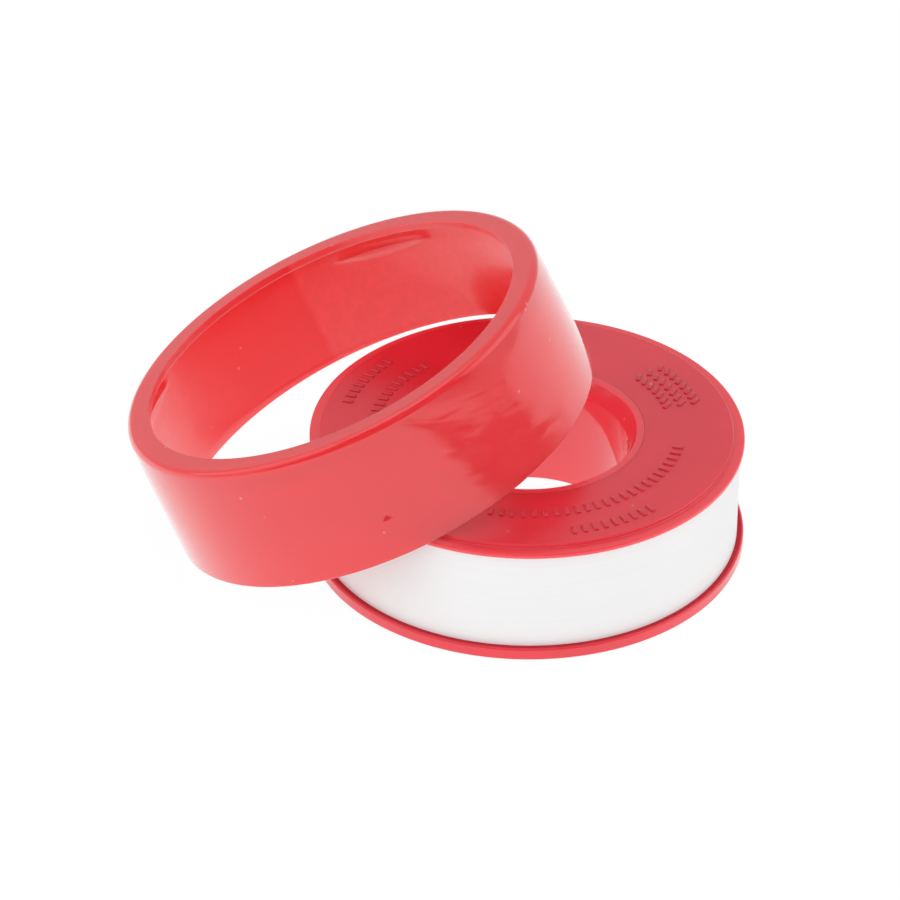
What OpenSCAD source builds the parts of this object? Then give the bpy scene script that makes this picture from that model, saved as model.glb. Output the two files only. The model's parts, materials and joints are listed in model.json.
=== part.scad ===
// Thread seal tape roll: a flanged spool wound with white tape, and its ring cover,
// taken off and leaning on the spool's rim. Millimetres, +Z up, the bore's axis on Z.

/* [Tape] */
// Width of the tape
tape_w = 12; // [8:0.5:19]
// Thickness of the tape
tape_t = 0.1; // [0.05:0.01:0.15]
// How far the wound tape's surface lies inside the upper flange's edge
tape_inset = 0.45; // [0.2:0.05:8]
// Direction of the tape's cut end, as an angle from +X
tape_end_angle = 75; // [0:5:355]
// Space along the surface from the cut end to the start of the outer wrap
tape_end_space = 1.2; // [0.6:0.1:3]

/* [Spool] */
// Radius of the upper flange
flange_r = 25; // [24:0.5:40]
// How far the lower flange stands out past the upper one
base_extra = 0.3; // [0:0.1:1]
// Thickness of the lower flange
base_t = 1.45; // [1:0.05:3]
// Thickness of the upper flange at its lowered rim
rim_t = 0.58; // [0.4:0.02:1.5]
// Width of the lowered rim
rim_w = 1.3; // [0.8:0.1:3]
// How far the rim is lowered below the upper face
rim_drop = 0.45; // [0.2:0.05:0.6]
// Radius of the bore's straight land, at the lower face
bore_r = 11.1; // [6:0.1:12]
// How much the bore's radius grows from there to the upper face
bore_taper = 1.35; // [0.1:0.05:2]
// Wall of the hub at the upper face
hub_wall = 1.05; // [0.8:0.05:2]
// Width of the hub's shoulder that the upper flange sits on
shoulder_w = 0.8; // [0.5:0.1:1.5]
// Bevel on the lower flange's edges
base_bevel = 0.15; // [0.05:0.05:0.3]

/* [Cover] */
// Wall of the cover
cover_wall = 0.63; // [0.5:0.01:1.2]
// Width of the cover's rim, from its outer edge to the lip's inner edge
lip_w = 3; // [2.2:0.1:6]
// Thickness of the lip at the wall
lip_t = 1.1; // [0.8:0.1:2]
// Bevel under the lip's inner edge
lip_bevel = 0.3; // [0.1:0.05:0.5]
// Bevel on the cover's outer top edge
cover_bevel = 0.55; // [0.1:0.05:0.7]
// Number of snap lugs
lug_count = 4; // [2:1:6]
// Length of a lug along the wall
lug_len = 11.3; // [4:0.1:14]
// How far a lug's ridge stands in from the wall
lug_out = 0.55; // [0.2:0.05:0.8]
// Height of a lug above its ridge
lug_rise = 0.9; // [0.5:0.1:1.5]
// Height of a lug below its ridge
lug_fall = 1.6; // [0.8:0.1:2.5]
// Direction of the first lug, as an angle about the cover's axis
lug_phase = -3.5; // [-45:0.5:45]
// Where the leaning cover meets the upper flange's rim, as an angle from -X to either side
touch_angle = 71.4; // [40:0.2:82]

/* [Clearances] */
// Between the tape's upper edge and the upper flange
tape_play = 0.1; // [0.05:0.05:0.5]
// Between the wound core and the hub, and between the outer wrap and the core
wound_slack = 0.05; // [0.03:0.01:0.1]
// Between the hub's end and the upper flange's hole
seat_slack = 0.05; // [0.02:0.01:0.1]
// Between the upper flange and the cover, when the cover is on
lip_end_fit = 0.15; // [0.05:0.05:0.3]
// Between the lower flange and the cover, when the cover is on
open_end_fit = 0.2; // [0.1:0.05:0.5]
// Between the upper flange's underside and a lug, when the cover is on
lug_play = 0.15; // [0.05:0.05:0.3]
// Between the leaning cover and the rim that it leans on
lean_gap = 0.15; // [0.1:0.05:0.4]

/* [Hidden] */
$fn = 96;
// Steps along the outer wrap of the tape
wrap_steps = 120;
// How far a cutting shape runs past the faces that it cuts
cut_over = 1;

// Spool, from its lower face up
base_r = flange_r + base_extra;
bore_top_r = bore_r + bore_taper;
hub_r = bore_top_r + hub_wall;
shoulder_r = hub_r + shoulder_w;
flange_under_z = base_t + tape_w + tape_play;
rim_z = flange_under_z + rim_t;
spool_h = rim_z + rim_drop;
rim_step_r = flange_r - rim_w;

// Wound core, and the outer wrap over it, which rises by the tape's thickness in its one turn
core_r = flange_r - tape_inset - 2 * tape_t - wound_slack;

// Cover, from its open end to its lip
cover_h = spool_h + lip_t;
cover_in_open = base_r + open_end_fit;
cover_in_lip = flange_r + lip_end_fit;
cover_out_open = cover_in_open + cover_wall;
cover_out_lip = cover_in_lip + cover_wall;
lip_r = cover_out_lip - lip_w;
lug_top_z = flange_under_z - lug_play;
lug_ridge_z = lug_top_z - lug_rise;
lug_angle = lug_len / cover_in_lip * 180 / PI;

// Inner radius of the cover's wall at a height above its open end
function cover_in(z) = cover_in_open + (cover_in_lip - cover_in_open) * z / spool_h;

// The cover stands on the lowest point of its open end, and that end's inner edge
// lies on the spool's rim at one point on each side of the X axis.
touch_x = -flange_r * cos(touch_angle);
touch_y = flange_r * sin(touch_angle);
touch_z = rim_z + lean_gap;
touch_uphill = sqrt(cover_in_open * cover_in_open - touch_y * touch_y);
cover_lean = asin(touch_z / (cover_out_open + touch_uphill));
lean_centre_x = touch_x - touch_uphill * cos(cover_lean);
lean_centre_z = cover_out_open * sin(cover_lean);
echo(cover_lean_degrees = cover_lean);

// Outer wrap: the strip's points, at a depth from its inner face
wrap_angle = 360 - tape_end_space / core_r * 180 / PI;
wrap_start_angle = tape_end_angle - wrap_angle;
function wrap_point(step, depth) =
    let (share = step / wrap_steps)
    let (angle = wrap_start_angle + wrap_angle * share)
    let (r = core_r + wound_slack + tape_t * share + depth)
    [r * cos(angle), r * sin(angle)];
wrap_inner = [for (i = [0 : wrap_steps]) wrap_point(i, 0)];
wrap_outer = [for (i = [wrap_steps : -1 : 0]) wrap_point(i, tape_t)];

// Least gap from the strip to itself, between points that aren't neighbours along it
wrap_apart = wrap_steps / 4;
wrap_line = [for (i = [0 : wrap_steps]) wrap_point(i, tape_t / 2)];
wrap_gap = min([
    for (i = [0 : wrap_steps - wrap_apart])
        for (j = [i + wrap_apart : wrap_steps])
            norm(wrap_line[j] - wrap_line[i])
]);
echo(tape_least_gap_mm = wrap_gap);

// Lower flange and hub in one moulding, with a tapered bore
module spool_base() {
    color([0.86, 0.22, 0.25])
    rotate_extrude()
    polygon([
        [bore_r, 0],
        [base_r - base_bevel, 0],
        [base_r, base_bevel],
        [base_r, base_t - base_bevel],
        [base_r - base_bevel, base_t],
        [shoulder_r, base_t],
        [shoulder_r, flange_under_z],
        [hub_r, flange_under_z],
        [hub_r, spool_h],
        [bore_top_r, spool_h],
        [bore_r, base_t]
    ]);
}

// Upper flange, pressed over the hub's end down to its shoulder
module upper_flange() {
    color([0.86, 0.22, 0.25])
    rotate_extrude()
    polygon([
        [hub_r + seat_slack, flange_under_z],
        [flange_r, flange_under_z],
        [flange_r, rim_z],
        [rim_step_r, rim_z],
        [rim_step_r, spool_h],
        [hub_r + seat_slack, spool_h]
    ]);
}

// Inner wraps of the tape, as one plain ring
module tape_core() {
    color([0.95, 0.95, 0.94])
    translate([0, 0, base_t])
    difference() {
        cylinder(r = core_r, h = tape_w);
        translate([0, 0, -cut_over])
        cylinder(r = shoulder_r + wound_slack, h = tape_w + 2 * cut_over);
    }
}

// Outermost wrap of the tape, one unbroken strip with its cut end lying flat
module tape_outer_wrap() {
    color([0.97, 0.97, 0.96])
    translate([0, 0, base_t])
    linear_extrude(tape_w)
    polygon(concat(wrap_inner, wrap_outer));
}

// Wall and lip of the cover, standing on its open end
module cover_shell() {
    rotate_extrude()
    polygon([
        [cover_in_open, 0],
        [cover_out_open, 0],
        [cover_out_lip, cover_h - cover_bevel],
        [cover_out_lip - cover_bevel, cover_h],
        [lip_r, cover_h],
        [lip_r, spool_h + lip_bevel],
        [lip_r + lip_bevel, spool_h],
        [cover_in_lip, spool_h]
    ]);
}

// One snap lug on the inside of the cover's wall, centred on +X.
// Its two slopes meet at the ridge and run on into the wall.
module snap_lug() {
    ridge_r = cover_in(lug_ridge_z) - lug_out;
    depth = lug_out + cover_wall / 2;
    rotate([0, 0, -lug_angle / 2])
    rotate_extrude(angle = lug_angle)
    polygon([
        [ridge_r, lug_ridge_z],
        [ridge_r + depth, lug_ridge_z - lug_fall * depth / lug_out],
        [ridge_r + depth, lug_ridge_z + lug_rise * depth / lug_out]
    ]);
}

// Ring cover with its snap lugs, leaning on the spool
module cover_ring() {
    color([0.88, 0.3, 0.32])
    translate([lean_centre_x, 0, lean_centre_z])
    rotate([0, -cover_lean, 0]) {
        cover_shell();
        for (i = [0 : lug_count - 1])
            rotate([0, 0, lug_phase + i * 360 / lug_count])
            snap_lug();
    }
}

spool_base();
upper_flange();
tape_core();
tape_outer_wrap();
cover_ring();
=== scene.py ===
"""Models and finishes a thread seal tape roll: a flanged spool, its wound tape and its loose ring cover."""

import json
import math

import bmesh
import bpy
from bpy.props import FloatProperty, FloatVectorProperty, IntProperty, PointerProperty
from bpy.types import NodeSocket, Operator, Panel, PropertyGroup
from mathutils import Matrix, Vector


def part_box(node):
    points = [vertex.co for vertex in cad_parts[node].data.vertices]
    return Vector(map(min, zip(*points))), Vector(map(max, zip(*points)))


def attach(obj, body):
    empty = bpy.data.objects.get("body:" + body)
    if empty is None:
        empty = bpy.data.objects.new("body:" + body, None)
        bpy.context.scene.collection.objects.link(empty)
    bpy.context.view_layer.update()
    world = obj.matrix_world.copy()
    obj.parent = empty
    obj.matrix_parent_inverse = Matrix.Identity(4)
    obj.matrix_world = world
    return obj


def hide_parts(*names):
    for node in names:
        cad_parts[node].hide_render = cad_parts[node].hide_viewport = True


bl_info = {
    "name": "Thread Seal Tape Roll",
    "version": (1, 0, 0),
    "blender": (4, 5, 0),
    "location": "3D View > Sidebar > Tape Roll",
    "description": "Models and finishes a thread seal tape roll with its ring cover leaning on it",
    "category": "Object",
}

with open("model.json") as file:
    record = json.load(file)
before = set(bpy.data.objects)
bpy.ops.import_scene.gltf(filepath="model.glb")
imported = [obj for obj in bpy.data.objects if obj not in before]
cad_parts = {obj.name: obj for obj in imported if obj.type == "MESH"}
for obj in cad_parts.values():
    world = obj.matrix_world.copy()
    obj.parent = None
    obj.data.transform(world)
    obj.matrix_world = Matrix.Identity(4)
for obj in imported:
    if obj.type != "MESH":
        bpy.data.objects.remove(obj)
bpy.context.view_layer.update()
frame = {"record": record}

# Units, and how finely round shapes are made
MM = 0.001
FULL_TURN = 2 * math.pi
ORIGIN = (0, 0, 0)
UP = (0, 0, 1)
TURN_STEPS = 192
ROUND_SEGMENTS = 5
MARK_SEGMENTS = 2
LUG_STEPS = 8
TAPE_STEPS_ROUND = 240
TAPE_STEPS_UP = 12
MERGE_DISTANCE = 0.001 * MM
ON_CIRCLE = 0.005 * MM
SHARP_ANGLE = math.radians(40)
SLIGHT_ANGLE = math.radians(0.01)

# How far a face's direction leans towards the axis where the face counts as looking in
LOOKS_IN = 0.6

# Share of the way up the bore's wall to a line of the mesh that keeps the fold above it crisp
BEFORE_FOLD = 0.97

# Attribute that notes where the cover's inside has painted shade, the darker plain cover red
PAINTED_SHADE_LAYER = "painted_shade_patch"

# Waves of the tape's edges in a turn, waves of its torn end in radians, and where the waves start
EDGE_WAVES = 5
LONG_TEAR = 9
SHORT_TEAR = 23
WAVE_START = 1

# Light specks in the red plastic: their colour, and how much of the red they hide
SPECK_RED = (0.88, 0.3, 0.29)
SPECK_COVER = 0.6

# How much a scuff lowers and raises the roughness of a red skin
SCUFF_LESS = 0.04
SCUFF_MORE = 0.09

# Depths of the fine grain in a red skin, and of the ribs and the waves in the tape
GRAIN_DEPTH = 0.02 * MM
RIB_DEPTH = 0.02 * MM
TAPE_WAVE_DEPTH = 0.15 * MM

# Index of refraction of the tape
TAPE_REFRACTION = 1.38

# How far red, green and blue light go into the plastic and into the tape, as shares of a depth
RED_REACH = (1.0, 0.12, 0.1)
WHITE_REACH = (1.0, 0.95, 0.9)

# Half the width of the soft bound between two finishes of the spool
FINISH_SOFT = 0.15 * MM

# Shine of plain plastic, and how much coat and shine the lower flange loses beside the tape, so that it
# mirrors less there, as part of its painted shade
PLAIN_SHINE = 0.5
COAT_LOST = 0.8
SHINE_LOST = 0.35

# Where the surround changes: the fill and the dark room by the direction's Y, the horizon by its Z
FILL_BOUNDS = (-0.9, 0.1)
ROOM_BOUNDS = (0.05, -0.3)
HORIZON_BOUNDS = (0.02, 0.08)

# Colours of the stage, and the width of the camera's picture in millimetres
PLAIN_WHITE = (1, 1, 1, 1)
PAPER_GREY = (0.06, 0.06, 0.06, 1)
PICTURE_WIDTH = 36

# Corners of the frame's nodes that the pieces are built to
BASE_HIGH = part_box("spool_base")[1]
FLANGE_LOW, FLANGE_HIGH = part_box("upper_flange")
CORE_LOW, CORE_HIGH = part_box("tape_core")
BORE_MOUNT = next(m for m in frame["record"]["mounts"] if m["name"] == "spool_bore")
BORE_RADIUS = BORE_MOUNT["dims"]["r_mm"] * MM


def length(name, description, default):
    """A size in metres, as a user sets it."""
    return FloatProperty(name=name, description=description, default=default, unit="LENGTH", precision=5)


def angle(name, description, degrees):
    """An angle, given in degrees."""
    return FloatProperty(name=name, description=description, default=math.radians(degrees), subtype="ANGLE")


def share(name, description, default):
    """A number from 0 to 1."""
    return FloatProperty(
        name=name, description=description, default=default, min=0, max=1, subtype="FACTOR",
    )


def colour(name, description, default):
    """A surface colour, in linear values."""
    return FloatVectorProperty(
        name=name, description=description, default=default, min=0, max=1, subtype="COLOR",
    )


def point(name, description, default):
    """A place in space, or on the floor where it has two values."""
    return FloatVectorProperty(
        name=name, description=description, default=default, size=len(default), unit="LENGTH", precision=5,
    )


def count(name, description, default):
    """A whole number of like things."""
    return IntProperty(name=name, description=description, default=default, min=1)


def brightness(name, description, default):
    """A brightness, where 1 shows as white."""
    return FloatProperty(name=name, description=description, default=default)


def power(name, description, default):
    """A lamp's power in watts."""
    return FloatProperty(name=name, description=description, default=default, unit="POWER")


class SpoolSizes(PropertyGroup):
    """Sizes of the spool."""

    base_radius: length("Base radius", "Radius of the lower flange", BASE_HIGH.x)
    base_thickness: length("Base thickness", "Thickness of the lower flange", CORE_LOW.z)
    height: length("Height", "Height of the spool", BASE_HIGH.z)
    bore_radius: length("Bore radius", "Stated radius of the bore, for the peg that it takes", BORE_RADIUS)
    bore_ease: length("Bore ease", "How much wider than stated the bore is at the lower face", 0.25 * MM)
    bore_taper: length("Bore taper", "How much wider than stated it is at the upper face", 1.5 * MM)
    bore_flare: length("Bore flare", "How much of that comes from the flare at the upper face", 0.9 * MM)
    flare_height: length("Flare height", "Height of that flare", 2.0 * MM)
    hub_wall: length("Hub wall", "Wall of the hub at the upper face", 0.9 * MM)
    shoulder_width: length("Shoulder width", "Width of the shoulder under the upper flange", 0.8 * MM)
    flange_radius: length("Flange radius", "Radius of the upper flange", FLANGE_HIGH.x)
    flange_under: length("Flange underside", "Height of the upper flange's underside", FLANGE_LOW.z)
    rim_thickness: length("Rim thickness", "Thickness of the upper flange's lowered rim", 0.58 * MM)
    rim_width: length("Rim width", "Width of the lowered rim", 1.3 * MM)
    seat_slack: length("Seat slack", "Gap between the hub's end and the flange's hole", 0.01 * MM)
    edge_round: length("Edge rounding", "Rounding of the flanges' outer edges", 0.22 * MM)
    bore_round: length("Bore rounding", "Rounding of the bore's upper edge", 0.16 * MM)
    seam_round: length("Seam rounding", "Rounding of the seam at the hub and of the bore's foot", 0.05 * MM)
    step_round: length("Step rounding", "Rounding of the rim's step and of its lower edge", 0.16 * MM)


class MarkSizes(PropertyGroup):
    """Sizes of the plain raised marks on the upper flange."""

    relief: length("Relief", "How far the marks stand up", 0.16 * MM)
    edge_round: length("Edge rounding", "Rounding of the marks' upper edges", 0.064 * MM)
    tick_length: length("Tick length", "Length of a tick, along the radius", 1.3 * MM)
    tick_width: length("Tick width", "Width of a tick", 0.5 * MM)
    tick_space: length("Tick space", "Distance from one tick to the next", 1.2 * MM)
    row_radius: length("Row radius", "Radius of the long rows of ticks", 17.65 * MM)
    short_radius: length("Short row radius", "Radius of the short rows of ticks", 21.4 * MM)
    front_angle: angle("Front row", "Direction of the front row's middle", -51)
    front_sweep: angle("Front sweep", "Angle that the front row takes up", 90)
    front_short_angle: angle("Front short row", "Direction of the front short row's middle", -56)
    back_angle: angle("Back row", "Direction of the back row's middle", 160)
    back_sweep: angle("Back sweep", "Angle that the back row takes up", 40)
    short_sweep: angle("Short sweep", "Angle that a short row takes up", 26)
    block_angle: angle("Block", "Direction of the middle of the block of slanted ticks", 35)
    block_sweep: angle("Block sweep", "Angle that the block takes up", 23)
    block_rows: count("Block rows", "Rows of ticks in the block", 3)
    block_radius: length("Block radius", "Radius of the block's innermost row", 16.9 * MM)
    block_space: length("Block space", "Distance from one row of the block to the next", 1.7 * MM)
    block_slant: angle("Block slant", "How far the block's ticks are turned from the radius", 40)


class TapeSizes(PropertyGroup):
    """Sizes of the wound tape."""

    thickness: length("Thickness", "Thickness of the tape", 0.1 * MM)
    core_radius: length("Core radius", "Outer radius of the inner wraps", CORE_HIGH.x)
    slack: length("Slack", "Gap between the outer wrap and the inner ones", 0.05 * MM)
    end_angle: angle("End", "Direction of the tape's cut end", 75)
    end_space: length("End space", "Space from the cut end to the start of the outer wrap", 1.2 * MM)
    end_lift: length("End lift", "How far the cut end curls away from the roll", 0.22 * MM)
    end_curl: length("End curl", "Length of the tape that curls, up to the cut end", 3.0 * MM)
    end_tear: length("End tear", "How far the cut end is torn out of straight", 0.25 * MM)
    edge_wander: length("Edge wander", "How far the tape's edges wander up and down", 0.03 * MM)


class CoverSizes(PropertyGroup):
    """Sizes of the ring cover, and how it leans."""

    wall: length("Wall", "Thickness of the wall", 0.63 * MM)
    lip_width: length("Lip width", "From the outer edge to the lip's inner edge", 3.0 * MM)
    lip_thickness: length("Lip thickness", "Thickness of the lip", 1.1 * MM)
    lip_bevel: length("Lip bevel", "Bevel under the lip's inner edge", 0.3 * MM)
    lip_fit: length("Lip fit", "Gap to the upper flange when the cover is on", 0.15 * MM)
    open_fit: length("Open fit", "Gap to the lower flange when the cover is on", 0.2 * MM)
    edge_round: length("Edge rounding", "Rounding of the outer top edge", 0.8 * MM)
    sink: length("Sink", "How far the wall draws in below its top edge", 0.14 * MM)
    sink_height: length("Sink height", "Height of the part of the wall that draws in", 3.2 * MM)
    lip_round: length("Lip rounding", "Rounding of the lip's inner edge", 0.07 * MM)
    open_round: length("Open end rounding", "Rounding of the open end's edges", 0.14 * MM)
    corner_round: length("Corner rounding", "Rounding of the corner under the lip", 0.25 * MM)
    lug_count: count("Lugs", "Snap lugs inside the wall", 4)
    lug_length: length("Lug length", "Length of a lug along the wall", 11.1 * MM)
    lug_out: length("Lug depth", "How far a lug stands in from the wall", 0.45 * MM)
    lug_play: length("Lug play", "Gap under the upper flange when the cover is on", 0.4 * MM)
    lug_rise: length("Lug rise", "Height of a lug above its ridge", 0.75 * MM)
    lug_fall: length("Lug fall", "Height of a lug below its ridge", 1.8 * MM)
    lug_end: share("Lug end", "Share of a lug's depth that is left at its ends", 0.85)
    lug_bow: share("Lug bow", "Share of the fall's height that is lost at a lug's ends", 0.7)
    lug_flat: length("Lug flat", "Height of the blunt ridge of a lug", 0.05 * MM)
    lug_phase: angle("Lug phase", "Direction of the first lug", -3)
    lead_height: length("Lead height", "Height of the lead-in inside the open end", 1.4 * MM)
    lead_depth: length("Lead depth", "How much wider the lead-in makes the open end", 0.3 * MM)
    # The patch is painted shade: the inside of the wall is a darker red there
    shade_start: angle("Clear start", "Where the clear patch of the inside starts", 113)
    shade_fade: angle("Clear fade", "Where the clear patch begins to fade", 138)
    shade_end: angle("Clear end", "Where the clear patch ends", 172)
    gate_angle: angle("Gate angle", "Direction of the moulding gate's pit in the wall", -75)
    gate_height: length("Gate height", "Height of the gate's pit above the open end", 5.2 * MM)
    gate_size: length("Gate size", "Height of the patch of wall that the pit is pressed into", 1.1 * MM)
    gate_edge: length("Gate edge", "Width of the flat edge round the pit", 0.14 * MM)
    gate_depth: length("Gate depth", "Depth of the pit", 0.28 * MM)
    touch_angle: angle("Touch", "Where the cover meets the rim, to either side of -X", 71.4)
    lean_gap: length("Lean gap", "Gap between the cover and the rim that it leans on", 0.15 * MM)


class Finishes(PropertyGroup):
    """Colours and finishes."""

    spool_red: colour("Spool red", "Colour of the spool's plastic", (0.81, 0.012, 0.033))
    cover_red: colour("Cover red", "Colour of the cover's plastic", (0.82, 0.034, 0.044))
    # Partly painted light: the mottled haze is the plastic's own, and its paleness over the cover red is
    # painted light
    hazy_painted_light_red: colour("Hazy red", "Colour of the cover's inside where it is hazy", (0.9, 0.075, 0.08))
    # Painted light: a paler, brighter red than the spool's, standing in for light that comes through the
    # thin hub
    bore_red: colour("Bore red", "Colour of the spool's bore", (1.0, 0.06, 0.085))
    # Painted shade: a darker red on the lower flange's upper face beside the tape, where the tape shades it
    painted_shade_red: colour("Deep red", "Colour of the lower flange beside the tape", (0.52, 0.003, 0.02))
    # Painted light: a paler red at the hub and the upper rim, standing in for light that comes through the
    # thin plastic from the white tape
    thin_painted_light_red: colour("Thin red", "Colour of the spool's plastic where it is thin", (0.95, 0.04, 0.06))
    tape_white: colour("Tape white", "Colour of the tape", (0.925, 0.915, 0.915))
    spool_roughness: share("Spool roughness", "Roughness of the spool's plastic", 0.34)
    cover_roughness: share("Cover roughness", "Roughness of the cover's plastic", 0.14)
    inside_roughness: share("Inside roughness", "Roughness of the cover's inside", 0.34)
    bore_roughness: share("Bore roughness", "Roughness of the spool's bore", 0.1)
    tape_roughness: share("Tape roughness", "Roughness of the tape", 0.55)


class StageSettings(PropertyGroup):
    """Camera, light and floor."""

    azimuth: angle("Azimuth", "Direction that the camera stands in, from -Y towards +X", 6.615)
    elevation: angle("Elevation", "Height of the camera above the horizon", 34.647)
    distance: length("Distance", "Distance of the camera from the origin", 500 * MM)
    aim: point("Aim", "Point at the middle of the picture", (-9.688 * MM, 5.416 * MM, 7.0 * MM))
    lens: FloatProperty(
        name="Lens", description="Focal length for a 36 mm wide picture", default=171.31, unit="CAMERA",
    )
    floor_size: length("Floor size", "Half of the floor's width", 3.0)
    ambient: brightness("Ambient", "Strength of the light from all round", 0.6)
    white_level: brightness("White level", "How white the floor shows", 0.96)
    floor_light: brightness("Floor light", "Strength of the light from the floor", 1.0)
    front_fill: brightness("Front fill", "Added strength of the light from the front", 0.45)
    back_shine: brightness("Back shine", "Brightness of the surround in reflections", 0.52)
    front_shade: brightness("Front shade", "Brightness of the mat and of the room behind the camera", 0.06)
    mat_low: point("Mat low", "Near left corner of the dark mat that only reflections show", (0.2, -0.3))
    mat_high: point("Mat high", "Far right corner of that mat", (1.8, 0.1))
    mat_soft: point("Mat softness", "Half the width of its soft edges, across and along", (0.04, 0.02))
    left_place: point("Left lamp", "Place of the lamp on the left", (-0.42, -0.12, 0.28))
    right_place: point("Right lamp", "Place of the lamp on the right", (0.42, 0.05, 0.28))
    top_place: point("Top lamp", "Place of the lamp above", (-0.15, 0.02, 0.5))
    side_width: length("Side lamps' width", "Width of each side lamp", 0.45)
    top_width: length("Top lamp's width", "Width of the lamp above", 0.35)
    side_power: power("Side lamps' power", "Power of each side lamp", 0.4)
    top_power: power("Top lamp's power", "Power of the lamp above", 0.22)


def polar(radius, direction, height):
    """The point at that radius and direction about Z."""
    return Vector((radius * math.cos(direction), radius * math.sin(direction), height))


def is_on_circle(edge, radius, height):
    """True for an edge that runs along that circle about Z."""
    return all(
        abs(v.co.xy.length - radius) < ON_CIRCLE and abs(v.co.z - height) < ON_CIRCLE for v in edge.verts
    )


def round_edges(bm, edges, rounding, segments=ROUND_SEGMENTS):
    """Rounds these edges."""
    bmesh.ops.bevel(
        bm, geom=edges, offset=rounding, offset_type="OFFSET", segments=segments, profile=0.5,
        affect="EDGES", clamp_overlap=True, material=-1,
    )


def turn_outline(bm, corners, steps=TURN_STEPS):
    """Turns a closed outline about Z. Each corner is its radius, its height and its rounding."""
    verts = [bm.verts.new((radius, 0, height)) for radius, height, _ in corners]
    edges = [bm.edges.new(pair) for pair in zip(verts, verts[1:] + verts[:1])]
    bmesh.ops.spin(
        bm, geom=verts + edges, cent=ORIGIN, axis=UP, angle=FULL_TURN, steps=steps, use_merge=True
    )
    bmesh.ops.remove_doubles(bm, verts=bm.verts, dist=MERGE_DISTANCE)
    bmesh.ops.recalc_face_normals(bm, faces=bm.faces)
    for radius, height, rounding in corners:
        if rounding:
            round_edges(bm, [e for e in bm.edges if is_on_circle(e, radius, height)], rounding)


def choose_inside(bm):
    """Gives the faces that look towards the axis the piece's second material."""
    for face in bm.faces:
        outward = face.calc_center_median().xy.normalized()
        face.material_index = 1 if face.normal.xy.dot(outward) < -LOOKS_IN else 0


def finish_piece(name, bm, materials, body, nodes=()):
    """Makes the bmesh a finished piece that rides on a body and stands for these nodes."""
    bmesh.ops.recalc_face_normals(bm, faces=bm.faces)
    mesh = bpy.data.meshes.new(name)
    bm.to_mesh(mesh)
    bm.free()
    mesh.shade_smooth()
    mesh.set_sharp_from_angle(angle=SHARP_ANGLE)
    for material in materials:
        mesh.materials.append(material)
    piece = bpy.data.objects.new(name, mesh)
    bpy.context.scene.collection.objects.link(piece)
    even = piece.modifiers.new("Even shading", "WEIGHTED_NORMAL")
    even.keep_sharp = True
    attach(piece, body)
    if nodes:
        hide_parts(*nodes)
    return piece


def feed(tree, socket, value):
    """Gives an input another node's socket, or a plain value."""
    if isinstance(value, NodeSocket):
        tree.links.new(value, socket)
    else:
        socket.default_value = value


def add_node(tree, kind, settings=None, **inputs):
    """Adds a shader node. Inputs are named with _ for a space, and are values or other nodes' sockets."""
    node = tree.nodes.new(kind)
    for key, value in (settings or {}).items():
        setattr(node, key, value)
    for key, value in inputs.items():
        feed(tree, node.inputs[key.replace("_", " ")], value)
    return node


def calculate(tree, operation, first, second=0.0, third=0.0):
    """One step of arithmetic on sockets or numbers."""
    node = tree.nodes.new("ShaderNodeMath")
    node.operation = operation
    for socket, value in zip(node.inputs, (first, second, third)):
        feed(tree, socket, value)
    return node.outputs["Value"]


def ramp_between(tree, value, low, high, out_low=0.0, out_high=1.0):
    """Eases a value from out_low at low to out_high at high."""
    node = add_node(
        tree, "ShaderNodeMapRange", {"interpolation_type": "SMOOTHSTEP"},
        Value=value, From_Min=low, From_Max=high, To_Min=out_low, To_Max=out_high,
    )
    return node.outputs["Result"]


def inside(tree, value, low, high, soft):
    """1 between low and high, 0 outside, with soft edges."""
    above = ramp_between(tree, value, low - soft, low + soft)
    below = ramp_between(tree, value, high + soft, high - soft)
    return calculate(tree, "MULTIPLY", above, below)


def choose(tree, amount, first, second):
    """The first value where the amount is 0, the second where it is 1."""
    node = add_node(tree, "ShaderNodeMix", {"data_type": "FLOAT"}, Factor=amount, A=first, B=second)
    return node.outputs["Result"]


def noise(tree, place, scale, detail=3.0, roughness=0.5, stretch=None):
    """Noise from 0 to 1 with that many features a metre, stretched along an axis where stretch says so."""
    if stretch:
        place = add_node(tree, "ShaderNodeMapping", Vector=place, Scale=stretch).outputs["Vector"]
    made = add_node(
        tree, "ShaderNodeTexNoise", Vector=place, Scale=scale, Detail=detail, Roughness=roughness,
    )
    return made.outputs["Fac"]


def specks(tree, place, scale, size, chosen):
    """Small round specks: 1 inside one, 0 elsewhere. Chosen is the share of the cells that have one."""
    cells = add_node(tree, "ShaderNodeTexVoronoi", Vector=place, Scale=scale)
    near = ramp_between(tree, cells.outputs["Distance"], low=size, high=size / 2)
    pick = add_node(tree, "ShaderNodeSeparateColor", Color=cells.outputs["Color"]).outputs["Red"]
    return calculate(tree, "MULTIPLY", near, calculate(tree, "LESS_THAN", pick, chosen))


def mix_colours(tree, amount, first, second):
    """Mixes two colours, given as values or sockets."""
    node = tree.nodes.new("ShaderNodeMix")
    node.data_type = "RGBA"
    sockets = {socket.identifier: socket for socket in (*node.inputs, *node.outputs)}
    feed(tree, sockets["Factor_Float"], amount)
    for name, value in (("A_Color", first), ("B_Color", second)):
        feed(tree, sockets[name], value if isinstance(value, NodeSocket) else (*value, 1))
    return sockets["Result_Color"]


def start_material(name):
    """An empty node material with its surface shader and its Object coordinates."""
    material = bpy.data.materials.new(name)
    material.use_nodes = True
    tree = material.node_tree
    shader = tree.nodes["Principled BSDF"]
    place = tree.nodes.new("ShaderNodeTexCoord").outputs["Object"]
    return material, tree, shader, place


def scaled(values, factor):
    """A colour, made lighter or darker."""
    return tuple(min(1.0, v * factor) for v in values)


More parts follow.
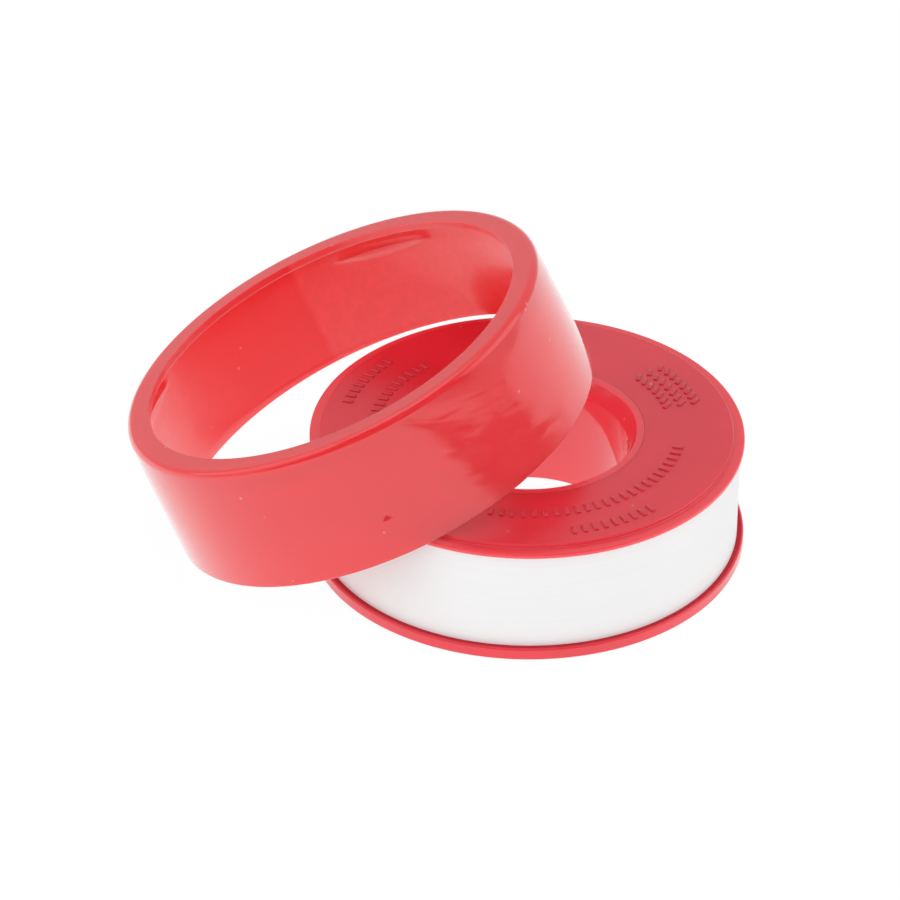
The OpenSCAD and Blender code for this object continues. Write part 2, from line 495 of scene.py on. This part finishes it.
def moulded_red(tree, place, red):
    """The red of a moulding: a slight drift of its colour, and a few light specks."""
    drift = ramp_between(tree, noise(tree, place, scale=70, detail=2), low=0.3, high=0.7)
    base = mix_colours(tree, drift, scaled(red, factor=0.95), scaled(red, factor=1.04))
    dust = specks(tree, place, scale=380, size=0.09, chosen=0.2)
    return mix_colours(tree, calculate(tree, "MULTIPLY", dust, SPECK_COVER), base, SPECK_RED)


def glossy_skin(tree, shader, place, roughness, coat_roughness, wave_scale, wave_depth):
    """A glossy skin with faint scuffs and fine grain, over slow waves that bend what it mirrors."""
    scuff = noise(tree, place, scale=160, detail=5, roughness=0.6, stretch=(1, 1, 3))
    least = roughness - SCUFF_LESS
    most = roughness + SCUFF_MORE
    rough = ramp_between(tree, scuff, low=0.35, high=0.75, out_low=least, out_high=most)
    tree.links.new(rough, shader.inputs["Roughness"])
    shader.inputs["Coat Weight"].default_value = 1.0
    shader.inputs["Coat Roughness"].default_value = coat_roughness
    wave = noise(tree, place, scale=wave_scale, detail=2, roughness=0.4, stretch=(0.6, 0.6, 1.6))
    waved = add_bump(tree, wave, strength=1.0, depth=wave_depth)
    grain = noise(tree, place, scale=2600, detail=2)
    grained = add_bump(tree, grain, strength=0.15, depth=GRAIN_DEPTH, over=waved)
    tree.links.new(grained, shader.inputs["Normal"])
    tree.links.new(waved, shader.inputs["Coat Normal"])


def add_bump(tree, height, strength, depth, over=None):
    """The direction of a surface with these bumps, laid over another bumped one if that is given."""
    node = add_node(tree, "ShaderNodeBump", Height=height, Strength=strength, Distance=depth)
    if over:
        tree.links.new(over, node.inputs["Normal"])
    return node.outputs["Normal"]


def let_light_in(shader, weight, depth, reach=RED_REACH):
    """Lets light into a surface. Reach says how far red, green and blue go, as shares of the depth."""
    shader.inputs["Subsurface Weight"].default_value = weight
    shader.inputs["Subsurface Radius"].default_value = reach
    shader.inputs["Subsurface Scale"].default_value = depth


def where_thin(tree, radius, height, spool):
    """1 where the spool is thin, at the hub and at the upper flange's rim, and 0 elsewhere: where the
    painted light, a paler red, goes.
    """
    hub = hub_radius(spool)
    rim = spool.flange_radius - spool.rim_width
    in_hub = ramp_between(tree, radius, hub + FINISH_SOFT, hub - FINISH_SOFT)
    in_rim = ramp_between(tree, radius, rim - FINISH_SOFT, rim + FINISH_SOFT)
    is_upper = calculate(tree, "GREATER_THAN", height, spool.height / 2)
    return calculate(tree, "MAXIMUM", in_hub, calculate(tree, "MULTIPLY", in_rim, is_upper))


def where_beside_tape(tree, radius, height, spool):
    """1 on the upper face of the lower flange, inside its rounded edge, where the painted shade beside the
    tape goes, and 0 elsewhere.
    """
    edge = spool.base_radius - spool.edge_round
    half = spool.base_thickness / 2
    in_edge = ramp_between(tree, radius, edge + FINISH_SOFT, edge - FINISH_SOFT)
    on_base = inside(tree, height, spool.base_thickness - half, spool.base_thickness + half, FINISH_SOFT)
    return calculate(tree, "MULTIPLY", in_edge, on_base)


def spool_red_plastic(name, red, thin_painted_light_red, painted_shade_red, roughness, spool):
    """The spool's satin red plastic, with painted light where it is thin, and painted shade beside the
    tape: a darker red there, with less coat and shine.
    """
    material, tree, shader, place = start_material(name)
    split = add_node(tree, "ShaderNodeSeparateXYZ", Vector=place)
    squares = [calculate(tree, "POWER", split.outputs[axis], 2) for axis in "XY"]
    radius = calculate(tree, "SQRT", calculate(tree, "ADD", *squares))
    # Painted light: a paler red where the spool is thin
    thin = where_thin(tree, radius, split.outputs["Z"], spool)
    # Painted shade: a darker red beside the tape
    painted_tape_shade = where_beside_tape(tree, radius, split.outputs["Z"], spool)
    base = mix_colours(tree, thin, moulded_red(tree, place, red), thin_painted_light_red)
    tree.links.new(mix_colours(tree, painted_tape_shade, base, painted_shade_red), shader.inputs["Base Color"])
    glossy_skin(
        tree, shader, place, roughness, coat_roughness=0.85 * roughness,
        wave_scale=85, wave_depth=0.05 * MM,
    )
    # The painted shade beside the tape also takes away coat and shine, so that the strip mirrors less of
    # the white tape
    coat = calculate(tree, "MULTIPLY_ADD", painted_tape_shade, -COAT_LOST, 1.0)
    shine = calculate(tree, "MULTIPLY_ADD", painted_tape_shade, -SHINE_LOST, PLAIN_SHINE)
    tree.links.new(coat, shader.inputs["Coat Weight"])
    tree.links.new(shine, shader.inputs["Specular IOR Level"])
    let_light_in(shader, weight=0.4, depth=2 * MM)
    return material


def polished_red_plastic(name, red, roughness, scatter):
    """Glossy red plastic. Scatter is the share of the light that goes in and comes out again nearby."""
    material, tree, shader, place = start_material(name)
    tree.links.new(moulded_red(tree, place, red), shader.inputs["Base Color"])
    glossy_skin(
        tree, shader, place, roughness, coat_roughness=0.4 * roughness,
        wave_scale=300, wave_depth=0.025 * MM,
    )
    let_light_in(shader, weight=scatter, depth=6 * MM)
    return material


def inside_red_plastic(name, red, hazy_painted_light_red, roughness):
    """The cover's inside: the same plastic, mottled and hazy, with its paleness partly painted light, but
    for one patch of its wall, which has the darker cover red as painted shade.
    """
    material, tree, shader, place = start_material(name)
    # clear is the painted shade: the darker cover red on the patch and on the lugs' ridges
    clear = add_node(tree, "ShaderNodeAttribute", {"attribute_name": PAINTED_SHADE_LAYER}).outputs["Fac"]
    mottle = noise(tree, place, scale=800, detail=4, roughness=0.65)
    blotch = ramp_between(tree, mottle, low=0.35, high=0.7)
    # Partly painted light: mottled haze of the plastic, in a paler red that stands in for light inside the
    # cover
    hazy = mix_colours(tree, blotch, scaled(hazy_painted_light_red, factor=0.96), scaled(hazy_painted_light_red, factor=1.04))
    base = mix_colours(tree, clear, hazy, moulded_red(tree, place, red))
    tree.links.new(base, shader.inputs["Base Color"])
    glossy_skin(
        tree, shader, place, roughness, coat_roughness=0.5 * roughness,
        wave_scale=240, wave_depth=0.05 * MM,
    )
    let_light_in(shader, weight=1.0, depth=6 * MM)
    return material


def seal_tape(name, white, roughness):
    """Soft white tape: fine lengthwise lines, slight waves and a faintly warm drift of its colour."""
    material, tree, shader, place = start_material(name)
    drift = noise(tree, place, scale=90)
    base = mix_colours(tree, drift, scaled(white, factor=0.97), scaled(white, factor=1.02))
    lines = noise(tree, place, scale=1, roughness=0.6, stretch=(30, 30, 2600))
    faint = ramp_between(tree, lines, low=0.35, high=0.65, out_high=0.25)
    lined = mix_colours(tree, faint, base, scaled(white, factor=0.94))
    tree.links.new(lined, shader.inputs["Base Color"])
    shader.inputs["Roughness"].default_value = roughness
    shader.inputs["IOR"].default_value = TAPE_REFRACTION
    let_light_in(shader, weight=0.15, depth=0.5 * MM, reach=WHITE_REACH)
    wave = noise(tree, place, scale=130, detail=2, stretch=(1, 1, 0.4))
    waved = add_bump(tree, wave, strength=0.5, depth=TAPE_WAVE_DEPTH)
    ribbed = add_bump(tree, lines, strength=0.3, depth=RIB_DEPTH, over=waved)
    tree.links.new(ribbed, shader.inputs["Normal"])
    return material


def shared_material(name, make, *values):
    """The material of that name, made the first time that it is asked for."""
    return bpy.data.materials.get(name) or make(name, *values)


def spool_plastic(scene):
    """The spool's red plastic."""
    f = scene.tape_roll_finishes
    return shared_material(
        "spool_red_plastic", spool_red_plastic, f.spool_red, f.thin_painted_light_red, f.painted_shade_red, f.spool_roughness,
        scene.tape_roll_spool,
    )


def cover_plastic(scene):
    """The cover's red plastic."""
    f = scene.tape_roll_finishes
    scatter = 1.0
    return shared_material(
        "cover_red_plastic", polished_red_plastic, f.cover_red, f.cover_roughness, scatter,
    )


def bore_plastic(scene):
    """The red plastic of the bore, which a polished core pin moulded, in a paler red that is painted light.
    """
    f = scene.tape_roll_finishes
    scatter = 0.2
    return shared_material(
        "bore_red_plastic", polished_red_plastic, f.bore_red, f.bore_roughness, scatter,
    )


def inside_plastic(scene):
    """The red plastic of the cover's inside."""
    f = scene.tape_roll_finishes
    return shared_material(
        "inside_red_plastic", inside_red_plastic, f.cover_red, f.hazy_painted_light_red, f.inside_roughness
    )


def tape_finish(scene):
    """The tape's white."""
    f = scene.tape_roll_finishes
    return shared_material("seal_tape_white", seal_tape, f.tape_white, f.tape_roughness)


def hub_radius(spool):
    """Radius of the hub's end, which the upper flange sits round."""
    return spool.bore_radius + spool.bore_taper + spool.hub_wall


class TAPEROLL_OT_spool_base(Operator):
    """Model the lower flange and the hub, one moulding with a bore that flares at the top"""

    bl_idname = "tape_roll.spool_base"
    bl_label = "Spool Base"

    def execute(self, context):
        s = context.scene.tape_roll_spool
        bore_top = s.bore_radius + s.bore_taper
        hub = hub_radius(s)
        shoulder = hub + s.shoulder_width
        foot = Vector((s.bore_radius + s.bore_ease, 0))
        flare = Vector((bore_top - s.bore_flare, s.height - s.flare_height))
        bm = bmesh.new()
        turn_outline(bm, [
            (*foot, s.seam_round),
            (s.base_radius, 0, s.edge_round),
            (s.base_radius, s.base_thickness, s.edge_round),
            (shoulder, s.base_thickness, 0),
            (shoulder, s.flange_under, 0),
            (hub, s.flange_under, 0),
            (hub, s.height, s.seam_round),
            (bore_top, s.height, s.bore_round),
            (*flare, 0),
            (*foot.lerp(flare, BEFORE_FOLD), 0),
        ])
        choose_inside(bm)
        materials = [spool_plastic(context.scene), bore_plastic(context.scene)]
        finish_piece("spool_base_moulding", bm, materials, "spool", ["spool_base"])
        return {"FINISHED"}


class TAPEROLL_OT_upper_flange(Operator):
    """Model the upper flange, a disc with a lowered rim"""

    bl_idname = "tape_roll.upper_flange"
    bl_label = "Upper Flange"

    def execute(self, context):
        s = context.scene.tape_roll_spool
        hole = hub_radius(s) + s.seat_slack
        rim_top = s.flange_under + s.rim_thickness
        step = s.flange_radius - s.rim_width
        bm = bmesh.new()
        turn_outline(bm, [
            (hole, s.flange_under, 0),
            (s.flange_radius, s.flange_under, s.step_round),
            (s.flange_radius, rim_top, s.edge_round),
            (step, rim_top, s.step_round),
            (step, s.height, s.step_round),
            (hole, s.height, s.seam_round),
        ])
        materials = [spool_plastic(context.scene)]
        finish_piece("upper_flange_disc", bm, materials, "spool", ["upper_flange"])
        return {"FINISHED"}


class TAPEROLL_OT_flange_marks(Operator):
    """Model plain raised marks on the upper flange: rows of ticks and a block of slanted ones"""

    bl_idname = "tape_roll.flange_marks"
    bl_label = "Flange Marks"

    def execute(self, context):
        top = context.scene.tape_roll_spool.height
        m = context.scene.tape_roll_marks
        bm = bmesh.new()
        add_row(bm, m, top, m.row_radius, m.front_angle, m.front_sweep)
        add_row(bm, m, top, m.short_radius, m.front_short_angle, m.short_sweep)
        add_row(bm, m, top, m.row_radius, m.back_angle, m.back_sweep)
        add_row(bm, m, top, m.short_radius, m.back_angle, m.short_sweep)
        for i in range(m.block_rows):
            radius = m.block_radius + i * m.block_space
            add_row(bm, m, top, radius, m.block_angle, m.block_sweep, m.block_slant)
        finish_piece("flange_marks", bm, [spool_plastic(context.scene)], "spool")
        return {"FINISHED"}


def add_row(bm, marks, top, radius, middle, sweep, slant=0.0):
    """Adds a row of raised ticks along an arc, each turned from the radius by the slant."""
    spaces = round(sweep * radius / marks.tick_space)
    for i in range(spaces + 1):
        add_tick(bm, marks, top, radius, middle + sweep * (i / spaces - 0.5), slant)


def add_tick(bm, marks, top, radius, direction, slant):
    """Adds one raised tick, half sunk into the flange, and rounds its upper edges."""
    size = Matrix.Diagonal((marks.tick_length, marks.tick_width, 2 * marks.relief, 1))
    place = Matrix.Translation(polar(radius, direction, top)) @ Matrix.Rotation(direction + slant, 4, "Z")
    made = bmesh.ops.create_cube(bm, size=1, matrix=place @ size)
    edges = {e for v in made["verts"] for e in v.link_edges}
    upper = [e for e in edges if all(v.co.z > top for v in e.verts)]
    round_edges(bm, upper, marks.edge_round, MARK_SEGMENTS)


class TAPEROLL_OT_inner_wraps(Operator):
    """Model the inner wraps of the tape as one ring"""

    bl_idname = "tape_roll.inner_wraps"
    bl_label = "Inner Wraps"

    def execute(self, context):
        s = context.scene.tape_roll_spool
        t = context.scene.tape_roll_tape
        inner = hub_radius(s) + s.shoulder_width + t.slack
        bm = bmesh.new()
        turn_outline(bm, [
            (inner, CORE_LOW.z, 0),
            (t.core_radius, CORE_LOW.z, t.thickness),
            (t.core_radius, CORE_HIGH.z, t.thickness),
            (inner, CORE_HIGH.z, 0),
        ])
        materials = [tape_finish(context.scene)]
        finish_piece("tape_inner_wraps", bm, materials, "spool", ["tape_core"])
        return {"FINISHED"}


class TAPEROLL_OT_outer_wrap(Operator):
    """Model the outermost wrap of the tape, a strip with its cut end lying on the roll"""

    bl_idname = "tape_roll.outer_wrap"
    bl_label = "Outer Wrap"

    def execute(self, context):
        bm = bmesh.new()
        wind_strip(bm, context.scene.tape_roll_tape)
        materials = [tape_finish(context.scene)]
        finish_piece("tape_outer_turn", bm, materials, "spool", ["tape_outer_wrap"])
        return {"FINISHED"}


def wind_strip(bm, tape):
    """Winds one turn of tape. Its radius grows by the tape's thickness on the way to the cut end."""
    wrap = FULL_TURN - tape.end_space / tape.core_radius
    start = tape.end_angle - wrap
    inner = tape.core_radius + tape.slack
    width = CORE_HIGH.z - CORE_LOW.z
    heights = [CORE_LOW.z + width * i / TAPE_STEPS_UP for i in range(TAPE_STEPS_UP + 1)]
    verts = [bm.verts.new(polar(inner, start, height)) for height in heights]
    edges = [bm.edges.new(pair) for pair in zip(verts, verts[1:])]
    bmesh.ops.spin(bm, geom=verts + edges, cent=ORIGIN, axis=UP, angle=wrap, steps=TAPE_STEPS_ROUND)
    bmesh.ops.remove_doubles(bm, verts=bm.verts, dist=MERGE_DISTANCE)
    for vert in bm.verts:
        # A slight turn keeps the start of the strip from being taken for the end of a full turn
        along = ((math.atan2(vert.co.y, vert.co.x) - start + SLIGHT_ANGLE) % FULL_TURN) / wrap
        up = (vert.co.z - CORE_LOW.z) / width
        near_end = max(0.0, 1 - (1 - along) * wrap * tape.core_radius / tape.end_curl)
        radius = inner + tape.thickness * along + tape.end_lift * near_end ** 2
        wander = tape.edge_wander * math.sin(EDGE_WAVES * wrap * along + WAVE_START) * (up - 0.5)
        torn = near_end * tape.end_tear * torn_share(up) / radius
        vert.co = polar(radius, start + wrap * along - SLIGHT_ANGLE + torn, vert.co.z - abs(wander))
    bmesh.ops.recalc_face_normals(bm, faces=bm.faces)
    bmesh.ops.solidify(bm, geom=bm.faces[:], thickness=-tape.thickness)


def torn_share(up):
    """How the cut end is torn at that share of the tape's width: a long wave and a weaker short one."""
    return math.sin(LONG_TEAR * up) + math.sin(SHORT_TEAR * up + WAVE_START) / 2


class TAPEROLL_OT_cover_ring(Operator):
    """Model the ring cover with its lip and its snap lugs"""

    bl_idname = "tape_roll.cover_ring"
    bl_label = "Ring Cover"

    def execute(self, context):
        s = context.scene.tape_roll_spool
        c = context.scene.tape_roll_cover
        out_open = wall_radius(s, c, 0) + c.wall
        out_lip = wall_radius(s, c, s.height) + c.wall
        lip = out_lip - c.lip_width
        top = s.height + c.lip_thickness
        bm = bmesh.new()
        turn_outline(bm, [
            (wall_radius(s, c, 0) + c.lead_depth, 0, c.open_round),
            (out_open, 0, c.open_round),
            *[(wall_radius(s, c, height) + c.wall, height, 0) for height in gate_heights(c)],
            (wall_radius(s, c, top - c.sink_height) + c.wall, top - c.sink_height, 0),
            (out_lip - c.sink, top, c.edge_round),
            (lip, top, c.lip_round),
            (lip, s.height + c.lip_bevel, c.lip_round),
            (lip + c.lip_bevel, s.height, 0),
            (wall_radius(s, c, s.height), s.height, c.corner_round),
            *[(wall_radius(s, c, height), height, 0) for height in lug_heights(s, c)],
            (wall_radius(s, c, c.lead_height), c.lead_height, 0),
        ])
        choose_inside(bm)
        note_painted_shade(bm, c)
        push_lugs_in(bm, s, c)
        press_gate_in(bm, s, c)
        bmesh.ops.transform(bm, matrix=cover_place(s, c), verts=bm.verts)
        materials = [cover_plastic(context.scene), inside_plastic(context.scene)]
        finish_piece("ring_cover", bm, materials, "cover", ["cover_ring"])
        return {"FINISHED"}


def wall_radius(spool, cover, height):
    """Inner radius of the cover's wall at a height above its open end."""
    in_open = spool.base_radius + cover.open_fit
    in_lip = spool.flange_radius + cover.lip_fit
    return in_open + (in_lip - in_open) * height / spool.height


def lug_heights(spool, cover):
    """Heights of a lug's top and ridge, and of the steps of its fall down to its foot."""
    top = spool.flange_under - cover.lug_play
    ridge = top - cover.lug_rise
    low = ridge - cover.lug_flat
    foot = ridge - cover.lug_fall
    return [top, ridge, *[low + (foot - low) * i / LUG_STEPS for i in range(LUG_STEPS + 1)]]


def lug_depth(spool, cover, height, off_middle):
    """How far a lug stands in at a height: a straight rise, a blunt ridge, a soft fall and a bowed foot."""
    top, ridge, low, *_, foot = lug_heights(spool, cover)
    bow = 1 - cover.lug_bow * off_middle ** 2
    rise = min(1.0, max(0.0, (top - height) / (top - ridge)))
    fall = min(1.0, max(0.0, (low - height) / (low - foot) / bow))
    whole = 1 - (1 - cover.lug_end) * off_middle ** 2
    return cover.lug_out * whole * rise * (1 - fall) ** 2 * (1 + 2 * fall)


def push_lugs_in(bm, spool, cover):
    """Pushes the wall inward at each lug, deepest in its middle, and gives the lugs' ridges the patch's
    painted shade.
    """
    clear = bm.verts.layers.float[PAINTED_SHADE_LAYER]
    ridge = lug_heights(spool, cover)[1]
    half = 0.5 * cover.lug_length / wall_radius(spool, cover, ridge)
    apart = FULL_TURN / cover.lug_count
    for vert in bm.verts:
        wall = wall_radius(spool, cover, vert.co.z)
        turn = math.atan2(vert.co.y, vert.co.x) - cover.lug_phase
        off_middle = abs((turn + apart / 2) % apart - apart / 2) / half
        if off_middle < 1 and abs(vert.co.xy.length - wall) < ON_CIRCLE:
            vert.co.xy *= 1 - lug_depth(spool, cover, vert.co.z, off_middle) / wall
            # The ridges take painted shade: the darker red of the patch
            if abs(vert.co.z - ridge) < ON_CIRCLE:
                vert[clear] = 1.0


def gate_heights(cover):
    """Heights of the lower and the upper edge of the patch of wall that has the gate's pit."""
    return [cover.gate_height - cover.gate_size / 2, cover.gate_height + cover.gate_size / 2]


def press_gate_in(bm, spool, cover):
    """Presses the moulding gate's pit into the outside of the wall, over two of its faces."""
    radius = wall_radius(spool, cover, cover.gate_height) + cover.wall
    spot = polar(radius, cover.gate_angle, cover.gate_height)
    pair = sorted(bm.faces, key=lambda face: (face.calc_center_median() - spot).length)[:2]
    patch = bmesh.ops.dissolve_faces(bm, faces=pair)["region"]
    bmesh.ops.inset_individual(bm, faces=patch, thickness=cover.gate_edge)
    bmesh.ops.poke(bm, faces=patch, offset=-cover.gate_depth)


def note_painted_shade(bm, cover):
    """Notes where the inside has painted shade, a darker red than the rest: from a sharp start round to a
    slow fade.
    """
    layer = bm.verts.layers.float.new(PAINTED_SHADE_LAYER)
    for vert in bm.verts:
        turn = math.atan2(vert.co.y, vert.co.x)
        left = (cover.shade_end - turn) / (cover.shade_end - cover.shade_fade)
        vert[layer] = min(1.0, max(0.0, left)) if turn > cover.shade_start else 0.0


def cover_place(spool, cover):
    """Where the cover stands: on the lowest point of its open end, whose inner edge lies on the rim."""
    in_open = wall_radius(spool, cover, 0)
    out_open = in_open + cover.wall
    touch_x = -spool.flange_radius * math.cos(cover.touch_angle)
    touch_y = spool.flange_radius * math.sin(cover.touch_angle)
    touch_z = spool.flange_under + spool.rim_thickness + cover.lean_gap
    uphill = math.sqrt(in_open ** 2 - touch_y ** 2)
    lean = math.asin(touch_z / (out_open + uphill))
    centre = Vector((touch_x - uphill * math.cos(lean), 0, out_open * math.sin(lean)))
    return Matrix.Translation(centre) @ Matrix.Rotation(-lean, 4, "Y")


class TAPEROLL_OT_stage(Operator):
    """Set the floor, the light and the camera"""

    bl_idname = "tape_roll.stage"
    bl_label = "Stage"

    def execute(self, context):
        stage = context.scene.tape_roll_stage
        add_floor(stage)
        add_surround(context.scene, stage)
        add_lamp("side_lamp_left", stage.left_place, stage.side_width, stage.side_power)
        add_lamp("side_lamp_right", stage.right_place, stage.side_width, stage.side_power)
        add_lamp("top_lamp", stage.top_place, stage.top_width, stage.top_power)
        add_camera(context.scene, stage)
        context.scene.view_settings.view_transform = "Standard"
        return {"FINISHED"}


def add_floor(stage):
    """A wide, flat floor."""
    bm = bmesh.new()
    bmesh.ops.create_grid(bm, x_segments=1, y_segments=1, size=stage.floor_size)
    mesh = bpy.data.meshes.new("floor")
    bm.to_mesh(mesh)
    bm.free()
    floor = bpy.data.objects.new("floor", mesh)
    bpy.context.scene.collection.objects.link(floor)
    mesh.materials.append(floor_white("floor_white", stage))


def floor_white(name, stage):
    """The floor's white paper, with a faint shadow. Reflections show a dark mat lying on it."""
    material = bpy.data.materials.new(name)
    material.use_nodes = True
    tree = material.node_tree
    tree.nodes.clear()
    place = tree.nodes.new("ShaderNodeTexCoord").outputs["Object"]
    split = add_node(tree, "ShaderNodeSeparateXYZ", Vector=place)
    sides = zip("XY", stage.mat_low, stage.mat_high, stage.mat_soft)
    across, along = [inside(tree, split.outputs[axis], *bounds) for axis, *bounds in sides]
    mat = calculate(tree, "MULTIPLY", across, along)
    mirrored = choose(tree, mat, stage.white_level, stage.front_shade)
    glow = glow_by_ray(tree, lit=stage.floor_light, mirrored=mirrored, seen=stage.white_level)
    white = add_node(tree, "ShaderNodeEmission", Color=PLAIN_WHITE, Strength=glow)
    paper = add_node(tree, "ShaderNodeBsdfDiffuse", Color=PAPER_GREY)
    both = tree.nodes.new("ShaderNodeAddShader")
    tree.links.new(paper.outputs[0], both.inputs[0])
    tree.links.new(white.outputs[0], both.inputs[1])
    output = tree.nodes.new("ShaderNodeOutputMaterial")
    tree.links.new(both.outputs[0], output.inputs["Surface"])
    return material


def glow_by_ray(tree, lit, mirrored, seen):
    """A brightness: one as light on the object, one in its reflections, and one where it is seen."""
    path = tree.nodes.new("ShaderNodeLightPath")
    direct = calculate(tree, "MAXIMUM", path.outputs["Is Camera Ray"], path.outputs["Is Transmission Ray"])
    unseen = choose(tree, path.outputs["Is Glossy Ray"], lit, mirrored)
    return choose(tree, direct, unseen, seen)


def add_surround(scene, stage):
    """White all round, with the room behind the camera darker in reflections. As light it is softer."""
    world = bpy.data.worlds.new("white_surround")
    world.use_nodes = True
    tree = world.node_tree
    background = tree.nodes["Background"]
    background.inputs["Color"].default_value = PLAIN_WHITE
    direction = tree.nodes.new("ShaderNodeTexCoord").outputs["Generated"]
    split = add_node(tree, "ShaderNodeSeparateXYZ", Vector=direction)
    back = split.outputs["Y"]
    lit = ramp_between(tree, back, *FILL_BOUNDS, stage.ambient + stage.front_fill, stage.ambient)
    in_front = ramp_between(tree, back, *ROOM_BOUNDS)
    above_floor = ramp_between(tree, split.outputs["Z"], *HORIZON_BOUNDS)
    room = calculate(tree, "MULTIPLY", in_front, above_floor)
    mirrored = choose(tree, room, stage.back_shine, stage.front_shade)
    tree.links.new(glow_by_ray(tree, lit, mirrored, seen=1.0), background.inputs["Strength"])
    scene.world = world


def add_lamp(name, place, size, watts):
    """A square soft lamp that faces the object."""
    lamp = bpy.data.lights.new(name, "AREA")
    lamp.shape = "SQUARE"
    lamp.size = size
    lamp.energy = watts
    holder = bpy.data.objects.new(name, lamp)
    holder.location = place
    holder.rotation_euler = (-Vector(place)).to_track_quat("-Z", "Y").to_euler()
    bpy.context.scene.collection.objects.link(holder)


def add_camera(scene, stage):
    """The camera, at the height and distance that shows the roll from the front and above."""
    camera = bpy.data.cameras.new("camera")
    camera.lens = stage.lens
    camera.sensor_width = PICTURE_WIDTH
    holder = bpy.data.objects.new("camera", camera)
    across = stage.distance * math.cos(stage.elevation)
    holder.location = (
        across * math.sin(stage.azimuth),
        -across * math.cos(stage.azimuth),
        stage.distance * math.sin(stage.elevation),
    )
    holder.rotation_euler = (Vector(stage.aim) - holder.location).to_track_quat("-Z", "Y").to_euler()
    scene.collection.objects.link(holder)
    scene.camera = holder


PIECES = (
    TAPEROLL_OT_spool_base,
    TAPEROLL_OT_upper_flange,
    TAPEROLL_OT_flange_marks,
    TAPEROLL_OT_inner_wraps,
    TAPEROLL_OT_outer_wrap,
    TAPEROLL_OT_cover_ring,
    TAPEROLL_OT_stage,
)

SETTINGS = {
    "tape_roll_spool": SpoolSizes,
    "tape_roll_marks": MarkSizes,
    "tape_roll_tape": TapeSizes,
    "tape_roll_cover": CoverSizes,
    "tape_roll_finishes": Finishes,
    "tape_roll_stage": StageSettings,
}


class TAPEROLL_PT_pieces(Panel):
    """Lists the pieces of the roll."""

    bl_idname = "TAPEROLL_PT_pieces"
    bl_label = "Tape Roll"
    bl_space_type = "VIEW_3D"
    bl_region_type = "UI"
    bl_category = "Tape Roll"

    def draw(self, context):
        for piece in PIECES:
            self.layout.operator(piece.bl_idname)
        for name, group in SETTINGS.items():
            box = self.layout.box()
            for key in group.__annotations__:
                box.prop(getattr(context.scene, name), key)


def register():
    """Registers the settings, the operators and the panel."""
    for name, group in SETTINGS.items():
        bpy.utils.register_class(group)
        setattr(bpy.types.Scene, name, PointerProperty(type=group))
    for cls in (*PIECES, TAPEROLL_PT_pieces):
        bpy.utils.register_class(cls)


def unregister():
    """Takes them all out again."""
    for cls in (TAPEROLL_PT_pieces, *reversed(PIECES)):
        bpy.utils.unregister_class(cls)
    for name, group in SETTINGS.items():
        delattr(bpy.types.Scene, name)
        bpy.utils.unregister_class(group)


def main():
    """Makes every piece and the stage."""
    register()
    bpy.ops.tape_roll.spool_base()
    bpy.ops.tape_roll.upper_flange()
    bpy.ops.tape_roll.flange_marks()
    bpy.ops.tape_roll.inner_wraps()
    bpy.ops.tape_roll.outer_wrap()
    bpy.ops.tape_roll.cover_ring()
    bpy.ops.tape_roll.stage()


if __name__ == "__main__":
    main()
